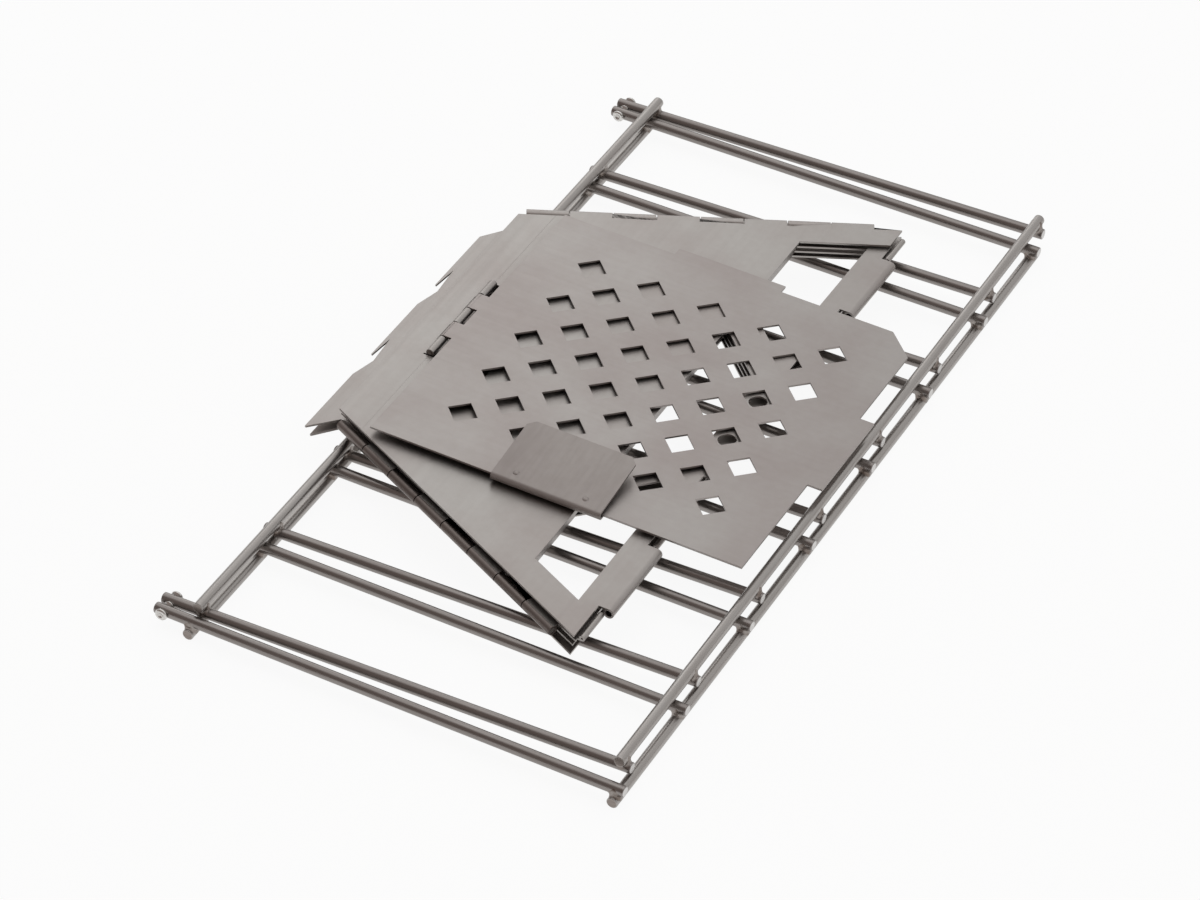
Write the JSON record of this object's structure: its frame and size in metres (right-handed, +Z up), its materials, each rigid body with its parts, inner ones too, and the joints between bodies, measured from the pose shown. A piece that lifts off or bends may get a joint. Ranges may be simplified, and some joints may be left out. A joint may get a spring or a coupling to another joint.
{
  "type": "folding twig stove",
  "caption": "Flat-folded sheet-metal twig stove: hinged trapezoid panels with a hinged perforated grate and slide-on clip, packed on its folding rod grill.",
  "frame": {"origin": "middle of the whole packed object in plan, on the plane that the lower rails stand on", "axes": "+X along the grill bars away from its riveted side, +Y along the rails, +Z up"},
  "size_m": [0.1339, 0.2586, 0.0207],
  "materials": {
    "sheet": "satin rolled sheet with a faint warm heat tint",
    "rod": "drawn wire rod, duller than the sheet, dark at the welds",
    "pin": "plain drawn pin"
  },
  "bodies": {
    "upper_leaf": {"rail_top_left": "rod", "rail_top_right": "rod", "bar_top_1": "rod", "bar_top_2": "rod", "bar_top_3": "rod", "bar_top_4": "rod", "bar_top_5": "rod", "bar_top_6": "rod", "bar_top_7": "rod", "bar_top_8": "rod", "rivets": "pin"},
    "lower_leaf": {"rail_low_left": "rod", "rail_low_right": "rod", "bar_low_1": "rod", "bar_low_2": "rod", "bar_low_3": "rod", "bar_low_4": "rod", "bar_low_5": "rod", "bar_low_6": "rod", "bar_low_7": "rod", "bar_low_8": "rod"},
    "panel_4": {"panel_4": "sheet", "pin_34": "pin"},
    "panel_3": {"panel_3": "sheet", "pin_23": "pin"},
    "panel_2": {"panel_2": "sheet", "pin_12": "pin"},
    "panel_1": {"panel_1": "sheet", "grate_pin": "pin"},
    "grate": {"grate": "sheet"},
    "clip": {"clip": "sheet"}
  },
  "joints": [
    {"name": "grill_fold", "type": "hinge", "parent": "upper_leaf", "child": "lower_leaf", "pos_m": [-0.06422, 0.00379, 0.00458], "axis": [0, 1, 0], "range_deg": [0, 180]},
    {"name": "stack_lift", "type": "slide", "parent": "upper_leaf", "child": "panel_4", "axis": [0, 0, 1], "range_m": [0, 0.1]},
    {"name": "hinge_34", "type": "hinge", "parent": "panel_4", "child": "panel_3", "pos_m": [-0.01567, 0.07573, 0.0093], "axis": [-0.893, -0.4491, 0.0287], "range_deg": [0, 84]},
    {"name": "hinge_23", "type": "hinge", "parent": "panel_3", "child": "panel_2", "pos_m": [-0.01519, -0.06815, 0.01149], "axis": [0.893, -0.4491, -0.0287], "range_deg": [0, 150]},
    {"name": "hinge_12", "type": "hinge", "parent": "panel_2", "child": "panel_1", "pos_m": [-0.01553, 0.07573, 0.0137], "axis": [-0.893, -0.4491, 0.0287], "range_deg": [0, 104]},
    {"name": "grate_fold", "type": "hinge", "parent": "panel_1", "child": "grate", "pos_m": [-0.04968, 0.00339, 0.01675], "axis": [0, -1, 0], "range_deg": [0, 120]},
    {"name": "clip_slide", "type": "slide", "parent": "grate", "child": "clip", "axis": [0.0004, -0.9999, 0.0105], "range_m": [0, 0.026]}
  ]
}
